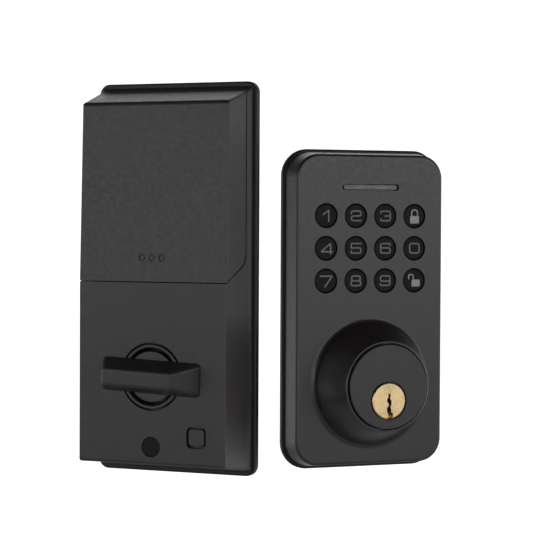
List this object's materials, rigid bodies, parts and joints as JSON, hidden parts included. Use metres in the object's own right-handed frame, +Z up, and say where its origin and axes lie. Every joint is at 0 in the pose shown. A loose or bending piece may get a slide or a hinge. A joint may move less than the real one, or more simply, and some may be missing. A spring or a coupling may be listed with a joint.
{
  "type": "keypad smart lock",
  "caption": "Keypad deadbolt lock as two separate door units: an exterior keypad with a key cylinder, and an interior battery unit with a thumb turn and motor gearing.",
  "frame": {"origin": "on the axis of the key plug, in the plane of the exterior unit's door face, midway between its two bolt posts", "axes": "+Z up, -Y out of the exterior keypad, +Y into the door; the interior unit stands to the -X side, turned 46.29 degrees about Z"},
  "size_m": [0.1547, 0.0947, 0.1604],
  "materials": {
    "exterior_shell": "satin dark bronze-black lacquer on cast metal",
    "face_black": "satin black",
    "base_black": "fine matte",
    "seal_rubber": "matte",
    "key_black": "soft matte with printed legends",
    "mat_rubber": "silicone rubber",
    "light_guide": "frosted clear",
    "board_green": "solder mask over fibre board",
    "connector_white": "moulded nylon",
    "lock_brass": "brushed",
    "bare_steel": "zinc plated",
    "screw_black": "black oxide",
    "interior_shell": "fine spark-eroded texture",
    "turn_black": "satin black",
    "tray_black": "smooth",
    "cell_sleeve": "printed sleeve",
    "contact_nickel": "nickel plated",
    "gear_acetal": "natural acetal",
    "motor_steel": "plated can",
    "part_black": "moulded"
  },
  "bodies": {
    "lock": {"exterior_housing": "exterior_shell", "cylinder_face": "face_black", "exterior_base": "base_black", "interior_base": "base_black", "exterior_gasket": "seal_rubber", "cable_grommet": "seal_rubber", "screw_plug": "seal_rubber", "keypad_mat": "mat_rubber", "status_light_bar": "light_guide", "keypad_board": "board_green", "main_board": "board_green", "keypad_connector": "connector_white", "board_connector": "connector_white", "driver_pins": "lock_brass", "cylinder_body": "lock_brass", "exterior_bolt_posts": "bare_steel", "mounting_plate": "bare_steel", "gear_axles": "bare_steel", "pin_springs": "bare_steel", "exterior_screws": "screw_black", "interior_screws": "screw_black", "gearbox_screws": "screw_black", "interior_housing": "interior_shell", "turn_bezel": "interior_shell", "battery_tray": "tray_black", "gearbox_plate": "tray_black", "gear_cover": "tray_black", "batteries": "cell_sleeve", "battery_springs": "contact_nickel", "battery_contacts": "contact_nickel", "motor": "motor_steel", "position_switches": "part_black", "buzzer": "part_black"},
    "plug": {"key_plug": "lock_brass", "key_pins": "lock_brass", "plug_retainer": "bare_steel", "tailpiece": "bare_steel"},
    "settings_button": {"settings_button": "interior_shell"},
    "turn": {"thumb_turn": "turn_black", "turn_disc": "interior_shell", "spindle": "bare_steel", "output_gear": "gear_acetal", "clutch_spring": "motor_steel"},
    "gear_two": {"gear_two": "gear_acetal"},
    "gear_one": {"gear_one": "gear_acetal"},
    "pinion": {"motor_pinion": "motor_steel"},
    "battery_cover": {"battery_cover": "interior_shell"},
    "key_1": {"key_1": "key_black"},
    "key_2": {"key_2": "key_black"},
    "key_3": {"key_3": "key_black"},
    "key_lock": {"key_lock": "key_black"},
    "key_4": {"key_4": "key_black"},
    "key_5": {"key_5": "key_black"},
    "key_6": {"key_6": "key_black"},
    "key_0": {"key_0": "key_black"},
    "key_7": {"key_7": "key_black"},
    "key_8": {"key_8": "key_black"},
    "key_9": {"key_9": "key_black"},
    "key_unlock": {"key_unlock": "key_black"}
  },
  "joints": [
    {"name": "key_1_press", "type": "slide", "parent": "lock", "child": "key_1", "axis": [0, 1, 0], "range_m": [0, 0.0008], "stiffness_N_per_m": 600},
    {"name": "key_2_press", "type": "slide", "parent": "lock", "child": "key_2", "axis": [0, 1, 0], "range_m": [0, 0.0008], "stiffness_N_per_m": 600},
    {"name": "key_3_press", "type": "slide", "parent": "lock", "child": "key_3", "axis": [0, 1, 0], "range_m": [0, 0.0008], "stiffness_N_per_m": 600},
    {"name": "key_lock_press", "type": "slide", "parent": "lock", "child": "key_lock", "axis": [0, 1, 0], "range_m": [0, 0.0008], "stiffness_N_per_m": 600},
    {"name": "key_4_press", "type": "slide", "parent": "lock", "child": "key_4", "axis": [0, 1, 0], "range_m": [0, 0.0008], "stiffness_N_per_m": 600},
    {"name": "key_5_press", "type": "slide", "parent": "lock", "child": "key_5", "axis": [0, 1, 0], "range_m": [0, 0.0008], "stiffness_N_per_m": 600},
    {"name": "key_6_press", "type": "slide", "parent": "lock", "child": "key_6", "axis": [0, 1, 0], "range_m": [0, 0.0008], "stiffness_N_per_m": 600},
    {"name": "key_0_press", "type": "slide", "parent": "lock", "child": "key_0", "axis": [0, 1, 0], "range_m": [0, 0.0008], "stiffness_N_per_m": 600},
    {"name": "key_7_press", "type": "slide", "parent": "lock", "child": "key_7", "axis": [0, 1, 0], "range_m": [0, 0.0008], "stiffness_N_per_m": 600},
    {"name": "key_8_press", "type": "slide", "parent": "lock", "child": "key_8", "axis": [0, 1, 0], "range_m": [0, 0.0008], "stiffness_N_per_m": 600},
    {"name": "key_9_press", "type": "slide", "parent": "lock", "child": "key_9", "axis": [0, 1, 0], "range_m": [0, 0.0008], "stiffness_N_per_m": 600},
    {"name": "key_unlock_press", "type": "slide", "parent": "lock", "child": "key_unlock", "axis": [0, 1, 0], "range_m": [0, 0.0008], "stiffness_N_per_m": 600},
    {"name": "settings_press", "type": "slide", "parent": "lock", "child": "settings_button", "axis": [0.7228, 0.691, 0], "range_m": [0, 0.0008], "stiffness_N_per_m": 600},
    {"name": "plug_turn", "type": "hinge", "parent": "lock", "child": "plug", "pos_m": [0, 0, 0], "axis": [0, -1, 0], "range_deg": [-90, 90]},
    {"name": "thumb_turn", "type": "hinge", "parent": "lock", "child": "turn", "pos_m": [-0.07787, 0.00661, 0.0109], "axis": [-0.7228, -0.691, 0], "range_deg": [-90, 90]},
    {"name": "gear_two_spin", "type": "hinge", "parent": "lock", "child": "gear_two", "pos_m": [-0.08506, 0.01413, 0.02891], "axis": [-0.7228, -0.691, 0], "range_deg": [-302, 302]},
    {"name": "gear_one_spin", "type": "hinge", "parent": "lock", "child": "gear_one", "pos_m": [-0.07571, 0.00435, 0.03384], "axis": [-0.7228, -0.691, 0], "range_deg": [-905, 905]},
    {"name": "pinion_spin", "type": "hinge", "parent": "lock", "child": "pinion", "pos_m": [-0.06741, -0.00433, 0.03384], "axis": [-0.7228, -0.691, 0], "range_deg": [-2710, 2710]},
    {"name": "cover_slide", "type": "slide", "parent": "lock", "child": "battery_cover", "axis": [0, 0, 1], "range_m": [0, 0.076]}
  ],
  "couplings": [
    {"joint": "gear_two_spin", "follows": "thumb_turn", "ratio": -3.3333},
    {"joint": "gear_one_spin", "follows": "thumb_turn", "ratio": 10},
    {"joint": "pinion_spin", "follows": "thumb_turn", "ratio": -30}
  ]
}
